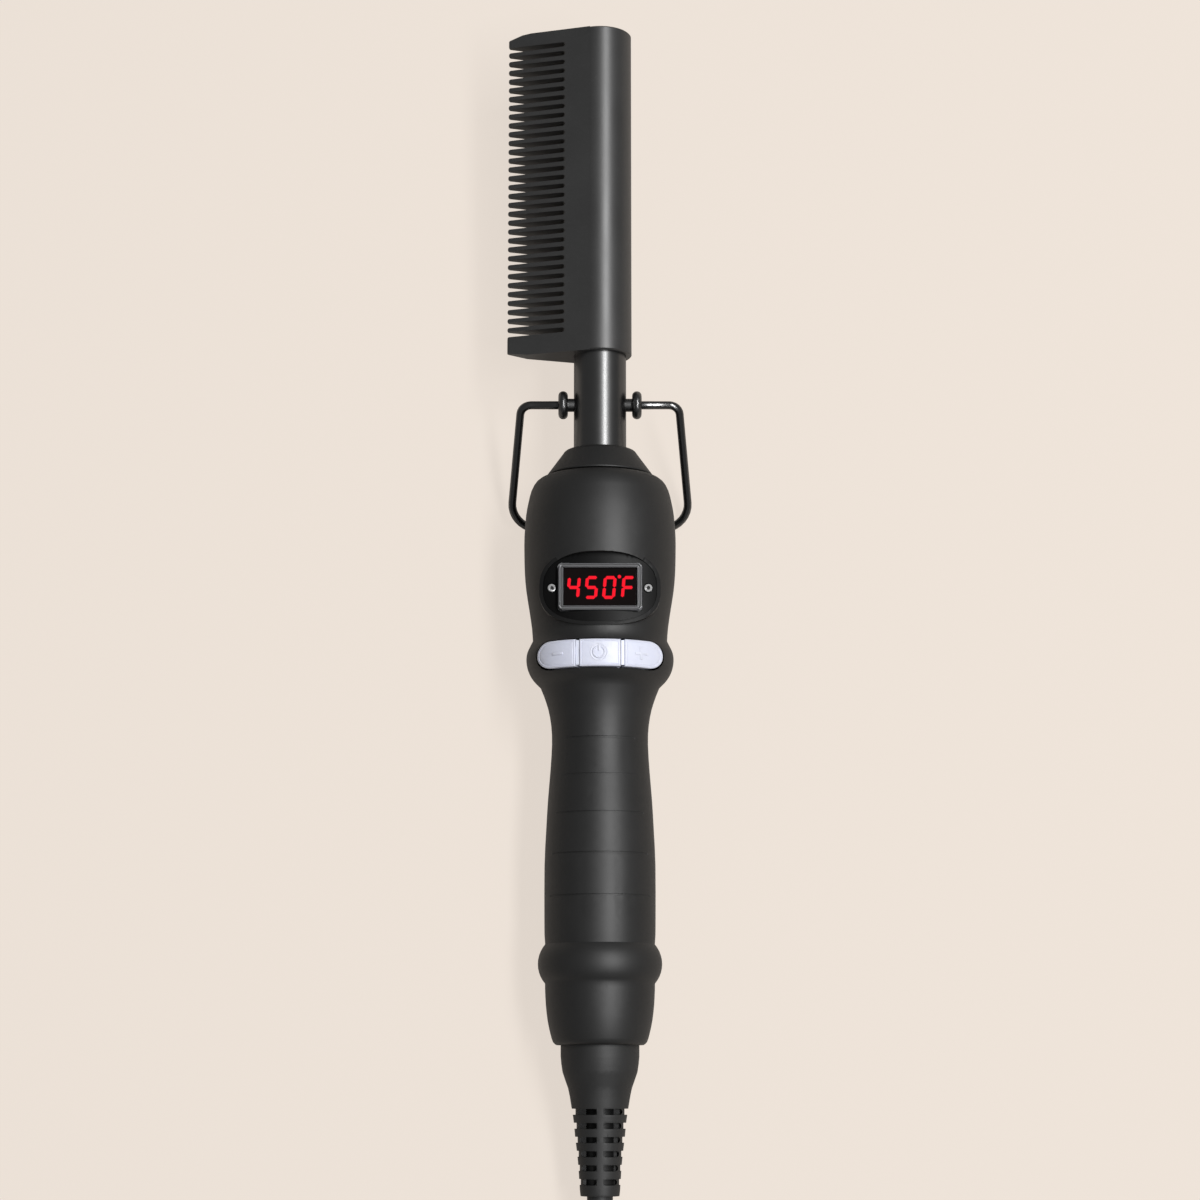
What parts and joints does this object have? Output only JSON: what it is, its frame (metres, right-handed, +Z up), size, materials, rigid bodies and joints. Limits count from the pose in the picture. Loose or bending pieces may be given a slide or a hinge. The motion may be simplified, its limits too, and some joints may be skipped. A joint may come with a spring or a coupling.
{
  "type": "hot comb",
  "caption": "Electric hot comb: slotted heated comb on a neck tube, turned handle with temperature display and keys, folding wire stand, swivelling strain relief and tied mains cord.",
  "frame": {"origin": "on the table, in the middle of the tool's outline from the comb's end to the end of the strain relief (cord not counted)", "axes": "+Y along the table towards the comb, +X to the right when the display is looked at, +Z up; the tool's own axis rises 2.95 degrees towards the comb"},
  "size_m": [0.0548, 0.4836, 0.0399],
  "materials": {
    "comb_coat": "satin black coat on die-cast aluminium",
    "gloss_black_metal": "gloss black enamel on steel",
    "wire_black": "gloss black enamel on steel wire",
    "soft_black": "soft-touch black with a fine grain",
    "relief_black": "moulded black elastomer",
    "bezel_black": "piano black",
    "frame_silver": "satin dark metal",
    "window_dark": "dark tinted window",
    "screw_bright": "bright nickel",
    "key_white": "milky satin plastic",
    "key_bar": "milky satin plastic, a shade darker than the keys",
    "steel": "plain steel",
    "brass": "turned brass",
    "blade_brass": "stamped brass blades",
    "ceramic": "sintered ceramic, opaque",
    "lead_sleeve": "glass fibre sleeve",
    "module_dark": "moulded",
    "board_green": "solder mask on glass-epoxy board",
    "capacitor_yellow": "moulded case",
    "cord_black": "black jacket, satin"
  },
  "bodies": {
    "tool": {"comb_head": "comb_coat", "heater_rod": "ceramic", "heater_insulator": "ceramic", "temperature_sensor": "brass", "thermal_fuse": "steel", "heater_leads": "lead_sleeve", "neck_tube": "gloss_black_metal", "tube_flange": "steel", "heat_shield": "ceramic", "pivot_bosses": "gloss_black_metal", "neck_collar": "soft_black", "handle_front": "soft_black", "handle_rear": "soft_black", "shell_screws": "steel", "display_bezel": "bezel_black", "display_frame": "frame_silver", "display_window": "window_dark", "display_module": "module_dark", "bezel_screws": "screw_bright", "control_board": "board_green", "tact_switches": "module_dark", "power_board": "board_green", "filter_capacitor": "capacitor_yellow", "triac": "module_dark", "key_carrier": "key_bar", "supply_leads": "cord_black", "brush_block": "module_dark", "cord_lead": "cord_black", "cord_hank": "cord_black", "cord_tie": "cord_black", "cord_tail": "cord_black", "plug_body": "cord_black", "plug_blades": "blade_brass"},
    "stand": {"stand_wire": "wire_black"},
    "key_minus": {"button_minus": "key_white"},
    "key_power": {"button_power": "key_white"},
    "key_plus": {"button_plus": "key_white"},
    "swivel": {"strain_relief": "relief_black", "slip_rings": "brass"}
  },
  "joints": [
    {"name": "stand_fold", "type": "hinge", "parent": "tool", "child": "stand", "pos_m": [0, 0.04681, 0.02152], "axis": [1, 0, 0], "range_deg": [0, 125]},
    {"name": "cord_swivel", "type": "hinge", "parent": "tool", "child": "swivel", "pos_m": [0, -0.10649, 0.01362], "axis": [0, 0.9987, 0.0514], "continuous": true},
    {"name": "minus_press", "type": "slide", "parent": "tool", "child": "key_minus", "axis": [0, 0.0514, -0.9987], "range_m": [0, 0.0006], "stiffness_N_per_m": 900, "springref_m": -0.0006},
    {"name": "power_press", "type": "slide", "parent": "tool", "child": "key_power", "axis": [0, 0.0514, -0.9987], "range_m": [0, 0.0006], "stiffness_N_per_m": 900, "springref_m": -0.0006},
    {"name": "plus_press", "type": "slide", "parent": "tool", "child": "key_plus", "axis": [0, 0.0514, -0.9987], "range_m": [0, 0.0006], "stiffness_N_per_m": 900, "springref_m": -0.0006}
  ]
}
